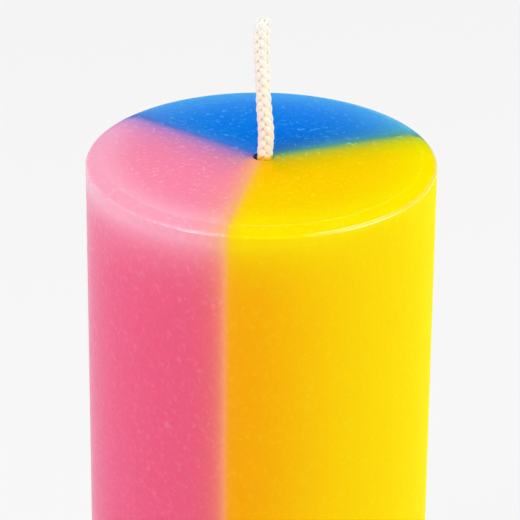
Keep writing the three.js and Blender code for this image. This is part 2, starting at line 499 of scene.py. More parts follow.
    def seam_distance(
        self, tree: bpy.types.NodeTree, across: Any, frame: tuple[Vector, Vector], start: float
    ) -> bpy.types.Node:
        """Works out how far a place is from a seam, which starts at the wick's bore.

        Args:
            tree: the material's tree.
            across: the place across the candle, in millimetres.
            frame: the directions across and along the seam.
            start: how far from the axis the seam starts.

        Returns:
            The node that gives the distance.
        """
        off = add_node(tree, VECTOR_MATH, [across, frame[0]], operation="DOT_PRODUCT")
        out = add_node(tree, VECTOR_MATH, [across, frame[1]], operation="DOT_PRODUCT")
        before = add_node(tree, MATH, [out, start], operation="SUBTRACT")
        before = add_node(tree, MATH, [before, 0.0], operation="MINIMUM")
        before = add_node(tree, MATH, [before, self.bore_shade], operation="MULTIPLY")
        offset = add_node(tree, "ShaderNodeCombineXYZ", [off, before])
        return add_node(tree, VECTOR_MATH, [offset], operation="LENGTH")

    def dyed(
        self,
        tree: bpy.types.NodeTree,
        radius: Any,
        depth: Any,
        on_top: Any,
        distances: list[Any],
        body: WaxBody,
    ) -> bpy.types.Node:
        """Works out the colour of the clear wax, with painted light in it: a painted glow at the rim
        and at the base, painted shade near the first seam and round the wick, and the next pours'
        colours near the seams.

        Args:
            tree: the material's tree.
            radius: the distance from the candle's axis, in millimetres.
            depth: how far below the candle's top, in millimetres.
            on_top: 1 on the top and 0 on the side.
            distances: the distances from both seams.
            body: the candle's body.

        Returns:
            The node that gives the colour.
        """
        # Painted glow: the colour pales towards the rim, inwards on the top and downwards on the side,
        # and towards the base, where light enters the wax at its edges
        inward = add_node(
            tree, MATH, [body.diameter / 2 - self.rim_width, radius], operation="SUBTRACT"
        )
        inward = add_node(tree, MATH, [inward, 0.0], operation="MAXIMUM")
        below = add_node(tree, MATH, [depth, self.rim_depth], operation="SUBTRACT")
        below = add_node(tree, MATH, [below, 0.0], operation="MAXIMUM")
        inward = fall_off(tree, inward, self.rim_reach, self.rim_falloff)
        below = fall_off(tree, below, self.side_reach)
        glow = add_node(tree, MATH, [inward, below], operation="MULTIPLY")
        height = add_node(tree, MATH, [body.height, depth], operation="SUBTRACT")
        at_base = fall_off(tree, height, self.side_reach)
        at_base = add_node(tree, MATH, [at_base, self.base_glow], operation="MULTIPLY")
        glow = add_node(tree, MATH, [glow, at_base], operation="MAXIMUM")

        # Painted shade: the side deepens towards the first seam, and the top round the wick
        near = fall_off(tree, distances[0], self.seam_shade_reach, 2.0)
        side = add_node(tree, MIX, [near, linear(self.side), linear(self.seam_shade)], data_type="RGBA")
        near = fall_off(tree, radius, self.core_reach, 2.0)
        top = add_node(tree, MIX, [near, linear(self.plateau), linear(self.core)], data_type="RGBA")
        colour = add_node(tree, MIX, [on_top, side, top], data_type="RGBA")
        colour = add_node(tree, MIX, [glow, colour, linear(self.rim)], data_type="RGBA")

        lit = add_node(tree, MATH, [glow, on_top], operation="MAXIMUM")
        for bleed, distance in zip(self.bleeds, distances):
            shares = [fall_off(tree, distance, reach) for reach in bleed.reach]
            shares = add_node(tree, "ShaderNodeCombineXYZ", shares)
            tone = add_node(tree, MIX, [lit, linear(bleed.side), linear(bleed.top)], data_type="RGBA")
            by_channel = {"data_type": "VECTOR", "factor_mode": "NON_UNIFORM"}
            colour = add_node(tree, MIX, inputs=[shares, colour, tone], **by_channel)
        return colour

    def crystals(self, tree: bpy.types.NodeTree, place: Any, patch: Any) -> bpy.types.Node:
        """Draws short bent strokes, where a noise field crosses its middle, and soft flecks.

        Args:
            tree: the material's tree.
            place: the place of the surface, in millimetres.
            patch: large soft patches, which break the strokes.

        Returns:
            The node that gives how much of a crystal is there, from 0 to 1.
        """
        field = add_node(
            tree, "ShaderNodeTexNoise", {"Vector": place, "Scale": 1 / self.stroke_size, "Detail": 1.5}
        )
        off_line = add_node(tree, MATH, [field.outputs["Fac"], 0.5], operation="SUBTRACT")
        off_line = add_node(tree, MATH, [off_line], operation="ABSOLUTE")
        limits = {"Value": off_line, "From Min": self.stroke_line, "From Max": 0.0}
        line = add_node(tree, MAP_RANGE, limits, **SMOOTH)
        limits = {"Value": patch, "From Min": self.stroke_band[0], "From Max": self.stroke_band[1]}
        length = add_node(tree, MAP_RANGE, limits, **SMOOTH)
        strokes = add_node(tree, MATH, [line, length], operation="MULTIPLY")
        wander = add_node(
            tree, "ShaderNodeTexNoise", {"Vector": place, "Scale": 1 / self.fleck_size, "Detail": 1.0}
        )
        wander = add_node(
            tree, VECTOR_MATH, [wander.outputs["Color"], self.fleck_size], operation="SCALE"
        )
        wander = add_node(tree, VECTOR_MATH, [place, wander], operation="ADD")
        flecks = self.scattered(tree, wander, self.fleck_size, *self.fleck_spot)
        return add_node(tree, MATH, [strokes, flecks], operation="MAXIMUM")

    def scattered(
        self, tree: bpy.types.NodeTree, place: Any, size: float, inner: float, outer: float
    ) -> bpy.types.Node:
        """Scatters small soft spots, of which about half are bright.

        Args:
            tree: the material's tree.
            place: the place of the surface, in millimetres.
            size: how far the spots are apart, in millimetres.
            inner: the share of that distance within which a spot is full.
            outer: the share at which it ends.

        Returns:
            The node that gives how much of a spot is there, from 0 to 1.
        """
        cells = add_node(tree, "ShaderNodeTexVoronoi", {"Vector": place, "Scale": 1 / size})
        near = {
            "Value": cells.outputs["Distance"],
            "From Min": inner,
            "From Max": outer,
            "To Min": 1.0,
            "To Max": 0.0,
        }
        spot = add_node(tree, MAP_RANGE, near)
        chance = add_node(tree, "ShaderNodeSeparateColor", [cells.outputs["Color"]]).outputs["Red"]
        bright = add_node(
            tree, MAP_RANGE, {"Value": chance, "From Min": self.dark_spots, "From Max": 1.0}
        )
        return add_node(tree, MATH, [spot, bright], operation="MULTIPLY")

    def painted_edge_highlight(
        self, tree: bpy.types.NodeTree, radius: Any, depth: Any, patch: Any, body: WaxBody
    ) -> bpy.types.Node:
        """Works out where a painted highlight lies along the moulded edge: a thin pale line, broken
        here and there.

        Args:
            tree: the material's tree.
            radius: the distance from the candle's axis, in millimetres.
            depth: how far below the candle's top, in millimetres.
            patch: large soft patches, which break the line.
            body: the candle's body.

        Returns:
            The node that gives it, from 0 to 1.
        """
        off = add_node(tree, MATH, [depth, body.edge_depth + self.edge_highlight_drop], operation="SUBTRACT")
        off = add_node(tree, MATH, [off], operation="ABSOLUTE")
        line = {"Value": off, "From Min": self.edge_highlight_line[0], "From Max": self.edge_highlight_line[1]}
        line = add_node(tree, MAP_RANGE, line, **SMOOTH)
        inner, outer = (body.diameter / 2 - inset for inset in self.edge_highlight_inset)
        outside = {"Value": radius, "From Min": inner, "From Max": outer}
        outside = add_node(tree, MAP_RANGE, outside)
        line = add_node(tree, MATH, [line, outside], operation="MULTIPLY")
        breaks = {"Value": patch, "From Min": self.edge_highlight_breaks[0], "From Max": self.edge_highlight_breaks[1]}
        breaks |= {"To Min": self.edge_highlight_between}
        breaks = add_node(tree, MAP_RANGE, breaks, **SMOOTH)
        return add_node(tree, MATH, [line, breaks], operation="MULTIPLY")

    def painted_lip_highlight(
        self,
        tree: bpy.types.NodeTree,
        place: Any,
        radius: Any,
        on_top: Any,
        patch: Any,
        body: WaxBody,
    ) -> bpy.types.Node:
        """Works out where a painted highlight lies on the lip round the plateau: a thin pale line in
        front.

        Args:
            tree: the material's tree.
            place: the place of the surface, in millimetres.
            radius: the distance from the candle's axis, in millimetres.
            on_top: 1 on the top and 0 on the side.
            patch: large soft patches, which break the line.
            body: the candle's body.

        Returns:
            The node that gives it, from 0 to 1.
        """
        middle = body.plateau_diameter / 2 - self.lip_inset
        off = add_node(tree, MATH, [radius, middle], operation="SUBTRACT")
        off = add_node(tree, MATH, [off], operation="ABSOLUTE")
        line = {"Value": off, "From Min": self.lip_line[0], "From Max": self.lip_line[1]}
        line = add_node(tree, MAP_RANGE, line, **SMOOTH)
        forward = add_node(tree, "ShaderNodeSeparateXYZ", [place]).outputs["Y"]
        front = {"Value": forward, "From Min": self.lip_front[0], "From Max": self.lip_front[1]}
        front = add_node(tree, MAP_RANGE, front)
        line = add_node(tree, MATH, [line, front], operation="MULTIPLY")
        breaks = {"Value": patch, "From Min": self.lip_breaks[0], "From Max": self.lip_breaks[1]}
        breaks |= {"To Min": self.lip_between}
        breaks = add_node(tree, MAP_RANGE, breaks, **SMOOTH)
        line = add_node(tree, MATH, [line, breaks], operation="MULTIPLY")
        return add_node(tree, MATH, [line, on_top], operation="MULTIPLY")


@dataclass
class WaxBody:
    """The candle's body: three wedges of one turned profile. Sizes in millimetres."""

    diameter: float = 70
    height: float = 150
    plateau_diameter: float = 63.6
    plateau_step: float = 0.22
    plateau_step_run: float = 0.6
    band_fall: float = 0.83
    shoulder_radius: float = 0.45
    base_edge_radius: float = 1
    bore_mouth_radius: float = 2.045
    bore_lean: float = 0.27
    bore_base_radius: float = 2.495
    recess_depth: float = 1.05
    recess_radius: float = 10.6
    seam_gap: float = 0.004
    ring_step: float = 0.75

    @property
    def edge_depth(self) -> float:
        """How far the top of the rounded edge is below the candle's top."""
        return self.plateau_step + self.band_fall

    def profile(self) -> list[tuple[float, float]]:
        """Lists the profile's corners as radius and height, from the bore's mouth round to it."""
        radius, top = self.diameter / 2, self.height
        shelf = top - self.edge_depth
        shoulder = self.shoulder_radius
        edge = self.base_edge_radius
        step_outer = self.plateau_diameter / 2 + self.plateau_step_run
        points = [(self.bore_mouth_radius, top)]
        low, base, mouth = self.recess_depth, self.bore_base_radius, self.bore_mouth_radius
        for z in np.linspace(top - 1, low, 12):
            points.append((float(np.interp(z, [low, top], [base, mouth])), z))
        points += [(r, low) for r in np.linspace(base, self.recess_radius, 5)[1:]]
        points += [(self.recess_radius, self.recess_depth / 2)]
        points += [(r, 0.0) for r in np.linspace(self.recess_radius, radius - edge, 9)[:-1]]
        points += arc((radius - edge, edge), edge, -90, 0, 8)
        points += [(radius, z) for z in np.linspace(edge, shelf - shoulder, 90)[1:-1]]
        points += arc((radius - shoulder, shelf - shoulder), shoulder, 0, 70, 14)
        lip = self.plateau_diameter / 2
        for share in np.linspace(1, 0, 9):
            fall = float(smooth_step(np.array(share), 0, 1)) * self.plateau_step
            points.append((lip + share * (step_outer - lip), top - fall))
        points += [(r, top) for r in (lip - 0.1, lip - 0.3)]
        points += [(r, top) for r in np.linspace(lip - 0.7, self.bore_mouth_radius, 50)[:-1]]
        return points

    def build(self, pour: Pour) -> bpy.types.Object:
        """Builds one pour.

        Args:
            pour: which of the three.

        Returns:
            Its piece.
        """
        outline = np.array(self.profile())
        first, last = pour.seams
        count = round((last - first) / self.ring_step)
        rings = []
        for place, azimuth in enumerate(np.radians(np.linspace(first, last, count + 1))):
            setback = self.seam_gap / 2 * ((place == 0) - (place == count))
            outward = np.array([math.cos(azimuth), math.sin(azimuth), 0])
            along = np.array([-outward[1], outward[0], 0])
            ring = outline[:, :1] * outward + setback * along + outline[:, 1:] * np.array([0, 0, 1])
            in_bore = smooth_step(outline[:, 0], 2 * self.bore_base_radius, self.bore_base_radius)
            ring[:, 0] += self.bore_lean * in_bore * outline[:, 1] / self.height
            rings.append(ring)
        size = len(outline)
        faces = ring_faces(size, count + 1, count)
        faces.append(tuple(range(size))[::-1])
        faces.append(tuple(range(count * size, (count + 1) * size)))
        return mesh_piece(pour.node + "_pour", np.concatenate(rings), faces)


@dataclass(frozen=True)
class BleachedCotton:
    """Bleached cotton, spun into soft yarn and plaited.

    It is cream and matt, with painted shade in its colour: the dips of the plait, nearer the
    wick's axis, are painted a warm golden shade, the crests a pale cream, and the painted shade
    fades out at the tip. Each yarn has a shade of its own, and its fibres run slantwise along it.
    Where the wick leaves the wax it is soaked, and the yellow wax shows through it.
    """

    name: str = "bleached cotton yarn, spun and plaited"
    crest: str = "faf9f2"
    dip: str = "f4dfb4"
    foot: str = "ffcb30"
    crest_reach: float = 1.42
    dip_reach: float = 1.08
    variation: float = 0.1
    fibre_spacing: float = 0.05
    fibre_length: float = 0.6
    soaked_to: float = 150.2
    soaked_fade: float = 1.0
    soaked_length: float = 30.0

    def material(self) -> bpy.types.Material:
        """Builds the cotton as a node material, which reads what the plait's tree wrote."""
        material, tree = new_material(self.name)
        apart = add_node(tree, "ShaderNodeAttribute", attribute_name="apart").outputs["Fac"]
        shade = add_node(tree, "ShaderNodeAttribute", attribute_name="shade").outputs["Fac"]
        along = add_node(tree, "ShaderNodeAttribute", attribute_name="fibre").outputs["Vector"]
        stretch = (1 / self.fibre_spacing, 1 / self.fibre_spacing, 1 / self.fibre_length)
        along = add_node(tree, VECTOR_MATH, [along, stretch], operation="MULTIPLY")
        fibres = add_node(
            tree, "ShaderNodeTexNoise", {"Vector": along, "Scale": 1.0, "Detail": 2.0}
        ).outputs["Fac"]
        # Painted shade: the tone follows how far out from the wick's axis the surface is, so the dips
        # are painted golden and the crests pale, varied by each yarn's shade and its fibres
        tone = add_node(tree, MATH, [shade, self.variation, apart], operation="MULTIPLY_ADD")
        tone = add_node(tree, MATH, [fibres, self.variation, tone], operation="MULTIPLY_ADD")
        dip, crest = (reach + self.variation for reach in (self.dip_reach, self.crest_reach))
        tone = {"Value": tone, "From Min": dip, "From Max": crest}
        tone = add_node(tree, MAP_RANGE, tone, **SMOOTH)
        colour = add_node(tree, MIX, [tone, linear(self.dip), linear(self.crest)], data_type="RGBA")
        place = add_node(tree, "ShaderNodeTexCoord").outputs["Object"]
        height = add_node(tree, "ShaderNodeSeparateXYZ", [place]).outputs["Z"]
        full = self.soaked_to * MM
        above = full + self.soaked_fade * MM
        soaked = {"Value": height, "From Min": above, "From Max": full}
        soaked = add_node(tree, MAP_RANGE, soaked, **SMOOTH)
        dry = {"Value": height, "From Min": full - self.soaked_length * MM, "From Max": full}
        dry = add_node(tree, MAP_RANGE, dry, **SMOOTH)
        soaked = add_node(tree, MATH, [soaked, dry], operation="MULTIPLY")
        colour = add_node(tree, MIX, [soaked, colour, linear(self.foot)], data_type="RGBA")
        bump = add_node(
            tree, "ShaderNodeBump", {"Strength": 0.5, "Distance": 0.03 * MM, "Height": fibres}
        )
        surface = {"Base Color": colour, "Roughness": 0.85, "Normal": bump, "Specular IOR Level": 0.2}
        surface |= {"Sheen Weight": 0.25, "Sheen Roughness": 0.5}
        surface = add_node(tree, "ShaderNodeBsdfPrincipled", surface)
        add_node(tree, "ShaderNodeOutputMaterial", [surface])
        return material


@dataclass
class PlaitedWick:
    """The wick: a square plait of six pairs of strands. Sizes in millimetres.

    Six strands climb one way round a core and six the other, each over two and under two. Every
    strand is a loose bundle of yarns. Inside the candle the strands run straight down to the
    sustainer.
    """

    AXIS_VALUES: ClassVar[tuple[str, ...]] = (
        "climbed",
        "slope",
        "braided",
        "girth",
        "closing",
        "face_turn",
        "near_tip",
        "near_end",
        "bare",
    )

    candle_height: float = 150
    free_length: float = 29.8
    strand_count: int = 12
    strand_thickness: float = 0.45
    strand_swell: float = 0.22
    strand_gap: float = 0.1
    strand_lead: float = 12.3
    lobe_gap: float = -0.14
    core_diameter: float = 0.66
    depth_in_bore: float = 4
    buried_width_share: float = 0.75
    end_height: float = 0.6
    neck_top: float = 6.4
    crest_flatness: float = 1 / 6
    tip_rounding: float = 1.3
    tip_closing: float = 0.8
    tip_inset: float = 0.15
    tip_swelling: float = 1.1
    tip_paleness: float = 1.1
    face_turn_at_mouth: float = 45
    face_turn_at_tip: float = 17
    step: float = 0.25
    yarns: int = 16
    yarn_radius: float = 0.15
    yarn_twist_lead: float = 9.0
    yarn_cut: float = 0.1
    hairs_per_square_mm: float = 0.9
    hair_length: float = 0.7
    hair_radius: float = 0.009
    posture: tuple[tuple[float, float, float], ...] = (
        (0.67, -0.1, 1.04),
        (0.86, -0.1, 1.08),
        (0.46, 0, 1.02),
        (0.17, 0.1, 0.98),
        (-0.02, 0.1, 1.0),
        (-0.18, 0, 1.06),
        (0.08, 0, 1.08),
    )

    @property
    def pair_angle(self) -> float:
        """The angle from one crossing to the next, in radians."""
        return 2 * math.pi / self.strand_count

    @property
    def top(self) -> float:
        """The height of the wick's tip."""
        return self.candle_height + self.free_length

    @property
    def braid_start(self) -> float:
        """The height at which the straight strands begin to plait."""
        return self.candle_height - self.depth_in_bore

    @property
    def lobe_height(self) -> float:
        """The height from one crossing to the next on the same face."""
        return self.strand_lead / (self.strand_count / 2)

    def wave(self, angle: float) -> float:
        """Gives how far out a strand is at an angle of its swing, from -1 to 1 with flat crests."""
        return (math.cos(angle) - self.crest_flatness * math.cos(3 * angle)) / (1 - self.crest_flatness)

    @property
    def swing(self) -> float:
        """How far a strand moves out and in as it passes over and under the others."""
        return (self.strand_thickness + self.strand_gap) / (2 * self.wave(2 * self.pair_angle))

    @property
    def weave_radius(self) -> float:
        """The mean distance of the strands from the wick's axis."""
        return (
            self.core_diameter + self.strand_thickness
        ) / 2 + self.swing * self.wave(self.pair_angle)

    def lean(self, free: np.ndarray) -> np.ndarray:
        """Gives the wick's lean and girth.

        Args:
            free: shares of the free length, from 0 at the candle's top to 1 at the tip.

        Returns:
            One row each: the lean along X and Y in millimetres, and the girth.
        """
        stations = np.array(self.posture)
        ends = (2 * stations[0] - stations[1], 2 * stations[-1] - stations[-2])
        stations = np.concatenate([ends[:1], stations, ends[1:]])
        place = np.clip(free, 0, 1) * (len(self.posture) - 1)
        span = np.minimum(place.astype(int), len(self.posture) - 2)
        t = (place - span)[:, None]
        before, near, far, after = (stations[span + i] for i in range(4))
        bend = 2 * before - 5 * near + 4 * far - after
        twist = 3 * (near - far) + after - before
        return near + 0.5 * t * ((far - before) + t * (bend + t * twist))

    def spine(self) -> bpy.types.Object:
        """Draws the wick's axis as a line of points that carry what the plait's tree reads."""
        buried = [
            self.end_height, self.neck_top, 30, 60, 90, 120, 140, self.braid_start - self.lobe_height
        ]
        count = round((self.top - self.braid_start) / self.step)
        plaited = np.linspace(self.braid_start, self.top - self.tip_inset, count + 1)
        heights = np.array(buried + list(plaited))
        above_start = heights - self.braid_start
        above = np.maximum(0, above_start)
        ramp = np.minimum(above, self.lobe_height)
        free = np.clip((heights - self.candle_height) / self.free_length, 0, 1)
        rise = np.clip((heights - self.neck_top) / (self.candle_height - self.neck_top), 0, 1)
        lean = self.lean(free)
        turning = self.face_turn_at_tip - self.face_turn_at_mouth
        into_tip = np.maximum(0, 1 - (self.top - heights) / self.tip_rounding)
        values = {
            "climbed": (above - ramp + ramp**2 / (2 * self.lobe_height)) * MM,
            "slope": ramp / self.lobe_height,
            "braided": smooth_step(above_start, -self.lobe_height, self.lobe_height),
            "girth": 1 + rise * (lean[:, 2] - 1),
            "closing": into_tip**2 * self.tip_closing * MM,
            "face_turn": np.radians(self.face_turn_at_mouth + turning * free),
            "near_tip": smooth_step(heights, self.top - 3, self.top),
            "near_end": (heights <= self.end_height).astype(float),
            "bare": smooth_step(heights, self.candle_height + 0.5, self.candle_height + 1.5)
            * (1 - smooth_step(heights, self.top - 1.5, self.top - 1)),
        }
        points = np.stack([lean[:, 0] * rise, lean[:, 1] * rise, heights], axis=1) * MM
        mesh = bpy.data.meshes.new("wick axis")
        mesh.from_pydata(points.tolist(), [(i, i + 1) for i in range(len(points) - 1)], [])
        for name, row in values.items():
            mesh.attributes.new(name, "FLOAT", "POINT").data.foreach_set(
                "value", row.astype(np.float32)
            )
        spine = bpy.data.objects.new("wick axis", mesh)
        bpy.context.scene.collection.objects.link(spine)
        return spine

    def formulas(self) -> list[tuple[Any, ...]]:
        """Lists the plait's formulas: a result's name, a Math node's operation and its values.

        A value is a number, an input of the tree, a value of the axis or an earlier result.
        """
        turn = 2 * math.pi
        return [
            # The strand's centre line, as it swings out over two strands and in under the next two
            ("turned", "DIVIDE", "climbed", "Lead"),
            ("turned", "MULTIPLY", "turned", turn),
            ("turned", "MULTIPLY_ADD", "turned", "Way", "Start Angle"),
            ("first", "MULTIPLY", "turned", 2.0),
            ("first", "COSINE", "first"),
            ("third", "MULTIPLY", "turned", 6.0),
            ("third", "COSINE", "third"),
            ("third", "MULTIPLY", "third", "Crest Flatness"),
            ("highest", "SUBTRACT", 1.0, "Crest Flatness"),
            ("wave", "SUBTRACT", "first", "third"),
            ("wave", "DIVIDE", "wave", "highest"),
            ("wave", "MULTIPLY", "wave", "Way"),
            ("radius", "MULTIPLY_ADD", "wave", "Swing", "Weave Radius"),
            # The strand's slope, and its width, which fills the room between its neighbours
            ("steepness", "MULTIPLY", "radius", turn),
            ("steepness", "DIVIDE", "steepness", "Lead"),
            ("climb", "ARCTANGENT", "steepness"),
            ("climb", "SINE", "climb"),
            ("width", "MULTIPLY", "Lobe Height", "climb"),
            ("width", "SUBTRACT", "width", "Lobe Gap"),
            ("share", "SUBTRACT", 1.0, "Buried Width Share"),
            ("share", "MULTIPLY_ADD", "share", "braided", "Buried Width Share"),
            ("width", "MULTIPLY", "width", "share"),
            ("tilt", "MULTIPLY", "steepness", "slope"),
            ("tilt", "ARCTANGENT", "tilt"),
            # Each yarn's place in the strand: round its rim, with one in the middle, slowly twisting
            ("rim count", "SUBTRACT", "Yarns", 1.0),
            ("last", "SUBTRACT", "rim count", 0.5),
            ("in rim", "LESS_THAN", "yarn", "last"),
            ("place", "DIVIDE", "yarn", "rim count"),
            ("twist", "DIVIDE", "climbed", "Yarn Twist Lead"),
            ("twist", "ADD", "twist", "place"),
            ("twist", "MULTIPLY", "twist", turn),
            ("twist", "MULTIPLY", "twist", "Way"),
            ("half", "MULTIPLY", "width", 0.5),
            ("half", "SUBTRACT", "half", "Yarn Radius"),
            ("across", "COSINE", "twist"),
            ("across", "MULTIPLY", "across", "half"),
            ("across", "MULTIPLY", "across", "in rim"),
            ("deep", "MULTIPLY", "Thickness", 0.5),
            ("deep", "SUBTRACT", "deep", "Yarn Radius"),
            ("out", "SINE", "twist"),
            ("out", "MULTIPLY", "out", "deep"),
            ("out", "MULTIPLY", "out", "in rim"),
            # The place goes round the wick by an angle, out by a reach and down by a drop
            ("angle", "COSINE", "tilt"),
            ("angle", "MULTIPLY", "angle", "across"),
            ("angle", "DIVIDE", "angle", "radius"),
            ("angle", "ADD", "angle", "turned"),
            ("angle", "ADD", "angle", "face_turn"),
            ("reach", "ADD", "radius", "out"),
            ("reach", "SUBTRACT", "reach", "closing"),
            ("reach", "MULTIPLY", "reach", "girth"),
            ("drop", "SINE", "tilt"),
            ("drop", "MULTIPLY", "drop", "across"),
            ("drop", "MULTIPLY", "drop", "Way"),
            # At the tip no yarn rises above the cut, and no two yarns end at one height
            ("low", "ABSOLUTE", "drop"),
            ("low", "ADD", "low", "drop"),
            ("cut", "MULTIPLY", "chance", "Yarn Cut"),
            ("low", "MULTIPLY_ADD", "cut", "near_tip", "low"),
            ("low", "SUBTRACT", "low", "drop"),
            ("drop", "MULTIPLY_ADD", "low", "near_tip", "drop"),
            ("drop", "MULTIPLY", "drop", "slope"),
            ("up", "MULTIPLY", "drop", -1.0),
            ("up", "MULTIPLY_ADD", "cut", "near_end", "up"),
            ("east", "COSINE", "angle"),
            ("east", "MULTIPLY", "east", "reach"),
            ("north", "SINE", "angle"),
            ("north", "MULTIPLY", "north", "reach"),
            # How thick the yarns are, and how many loose fibres they have
            ("swelling", "MULTIPLY_ADD", "near_tip", self.tip_swelling, 1.0),
            ("hairs", "MULTIPLY", "Hairs per Area", "bare"),
        ]

    def tree(self, cotton: bpy.types.Material) -> bpy.types.NodeTree:
        """Builds the tree that turns the wick's axis into one strand of the plait.

        Args:
            cotton: the material of the strand.

        Returns:
            The geometry tree, with named inputs for its sizes in metres.
        """
        tree = bpy.data.node_groups.new("square plait strand", "GeometryNodeTree")
        new_socket = tree.interface.new_socket
        new_socket("Axis", in_out="INPUT", socket_type="NodeSocketGeometry")
        sizes = {
            "Way": 1.0,
            "Start Angle": 0.0,
            "Lead": self.strand_lead * MM,
            "Weave Radius": self.weave_radius * MM,
            "Swing": self.swing * MM,
            "Crest Flatness": self.crest_flatness,
            "Lobe Height": self.lobe_height * MM,
            "Lobe Gap": self.lobe_gap * MM,
            "Thickness": (self.strand_thickness + self.strand_swell) * MM,
            "Buried Width Share": self.buried_width_share,
            "Yarn Radius": self.yarn_radius * MM,
            "Yarn Twist Lead": self.yarn_twist_lead * MM,
            "Yarn Cut": self.yarn_cut * MM,
            "Hairs per Area": self.hairs_per_square_mm / MM**2,
            "Hair Length": self.hair_length * MM,
            "Hair Radius": self.hair_radius * MM,
        }
        for name, value in sizes.items():
            new_socket(name, in_out="INPUT", socket_type="NodeSocketFloat").default_value = value
        for name, value in {"Yarns": self.yarns, "Seed": 1}.items():
            new_socket(name, in_out="INPUT", socket_type="NodeSocketInt").default_value = value
        new_socket("Strand", in_out="OUTPUT", socket_type="NodeSocketGeometry")
        given = add_node(tree, "NodeGroupInput").outputs
        known: dict[str, Any] = {socket.name: socket for socket in given}

        axis = add_node(tree, "GeometryNodeMeshToCurve", [given["Axis"]])
        yarns = {"Geometry": axis, "Amount": given["Yarns"]}
        yarns = add_node(tree, "GeometryNodeDuplicateElements", yarns, domain="SPLINE")
        kept = {"Geometry": yarns, "Name": "yarn", "Value": yarns.outputs["Duplicate Index"]}
        kept = add_node(tree, STORE, kept, data_type="FLOAT")
        kept = {
            "Geometry": kept, "Name": "middle", "Value": add_node(tree, "GeometryNodeInputPosition")
        }
        kept = add_node(tree, STORE, kept, data_type="FLOAT_VECTOR")
        for name in ("yarn", *self.AXIS_VALUES):
            known[name] = add_node(tree, "GeometryNodeInputNamedAttribute", [name], data_type="FLOAT")
        chance = {"ID": known["yarn"], "Seed": given["Seed"]}
        known["chance"] = add_node(tree, "FunctionNodeRandomValue", chance, data_type="FLOAT")
        for name, operation, *values in self.formulas():
            values = [known.get(value, value) for value in values]
            known[name] = add_node(tree, MATH, values, operation=operation)
        offset = add_node(tree, "ShaderNodeCombineXYZ", [known["east"], known["north"], known["up"]])
        bent = add_node(tree, "GeometryNodeSetPosition", {"Geometry": kept, "Offset": offset})

        # What the cotton's material reads: the yarn's own shade, a place for its fibres, and how
        # far out from the wick's axis the surface is, in millimetres, from which the material paints
        # shade into the dips; near the tip it is raised, so the painted shade fades out there
        shaded = {"Geometry": bent, "Name": "shade", "Value": known["chance"]}
        shaded = add_node(tree, STORE, shaded, data_type="FLOAT")
        section = {"Resolution": 6, "Radius": given["Yarn Radius"]}
        section = add_node(tree, "GeometryNodeCurvePrimitiveCircle", section)
        swollen = {"Curve": shaded, "Radius": known["swelling"]}
        swollen = add_node(tree, "GeometryNodeSetCurveRadius", swollen)
        tubes = {"Curve": swollen, "Profile Curve": section, "Fill Caps": True}
        tubes = add_node(tree, "GeometryNodeCurveToMesh", tubes)
        place = add_node(tree, "GeometryNodeInputPosition")
        fibre = add_node(tree, VECTOR_MATH, [place, 1 / MM], operation="SCALE")
        tubes = {"Geometry": tubes, "Name": "fibre", "Value": fibre}
        tubes = add_node(tree, STORE, tubes, data_type="FLOAT_VECTOR")
        middle = add_node(tree, "GeometryNodeInputNamedAttribute", ["middle"], data_type="FLOAT_VECTOR")
        apart = add_node(tree, VECTOR_MATH, [place, middle], operation="SUBTRACT")
        apart = add_node(tree, VECTOR_MATH, [apart, (1 / MM, 1 / MM, 0)], operation="MULTIPLY")
        apart = add_node(tree, VECTOR_MATH, [apart], operation="LENGTH")
        apart = add_node(tree, MATH, [apart, known["girth"]], operation="DIVIDE")
        apart = [known["near_tip"], self.tip_paleness, apart]
        apart = add_node(tree, MATH, apart, operation="MULTIPLY_ADD")
        tubes = {"Geometry": tubes, "Name": "apart", "Value": apart}
        tubes = add_node(tree, STORE, tubes, data_type="FLOAT")
        tubes = add_node(tree, "GeometryNodeSetShadeSmooth", [tubes])

        # Loose fibre ends, each a thin bent hair that stands away from the yarn
        scatter = {"Mesh": tubes, "Density": known["hairs"], "Seed": given["Seed"]}
        scatter = add_node(tree, "GeometryNodeDistributePointsOnFaces", scatter)
        middle = add_node(tree, VECTOR_MATH, [(0.25, 0, 0.35), given["Hair Length"]], operation="SCALE")
        end = add_node(tree, VECTOR_MATH, [(0.8, 0, 0.3), given["Hair Length"]], operation="SCALE")
        hair = {"Resolution": 4, "Start": (0, 0, 0), "Middle": middle, "End": end}
        hair = add_node(tree, "GeometryNodeCurveQuadraticBezier", hair)
        thin = {"Resolution": 3, "Radius": given["Hair Radius"]}
        thin = add_node(tree, "GeometryNodeCurvePrimitiveCircle", thin)
        hair = {"Curve": hair, "Profile Curve": thin, "Fill Caps": True}
        hair = add_node(tree, "GeometryNodeCurveToMesh", hair)
        spin = {"Min": (0, 0, 0), "Max": (0.4, 0.4, 2 * math.pi), "Seed": given["Seed"]}
        spin = add_node(tree, "FunctionNodeRandomValue", spin, data_type="FLOAT_VECTOR")
        spin = add_node(tree, "FunctionNodeEulerToRotation", [spin])
        aim = [scatter.outputs["Rotation"], spin]
        aim = add_node(tree, "FunctionNodeRotateRotation", aim, rotation_space="LOCAL")
        size = {"Min": 0.35, "Max": 1.0, "Seed": given["Seed"]}
        size = add_node(tree, "FunctionNodeRandomValue", size, data_type="FLOAT")
        hairs = {"Points": scatter.outputs["Points"], "Instance": hair, "Rotation": aim, "Scale": size}
        hairs = add_node(tree, "GeometryNodeInstanceOnPoints", hairs)
        joined = tree.nodes.new("GeometryNodeJoinGeometry")
        tree.links.new(hairs.outputs[0], joined.inputs[0])
        tree.links.new(tubes.outputs[0], joined.inputs[0])
        solid = add_node(tree, "GeometryNodeRealizeInstances", [joined])
        dressed = add_node(tree, "GeometryNodeSetMaterial", {"Geometry": solid, "Material": cotton})
        add_node(tree, "NodeGroupOutput", [dressed])
        return tree

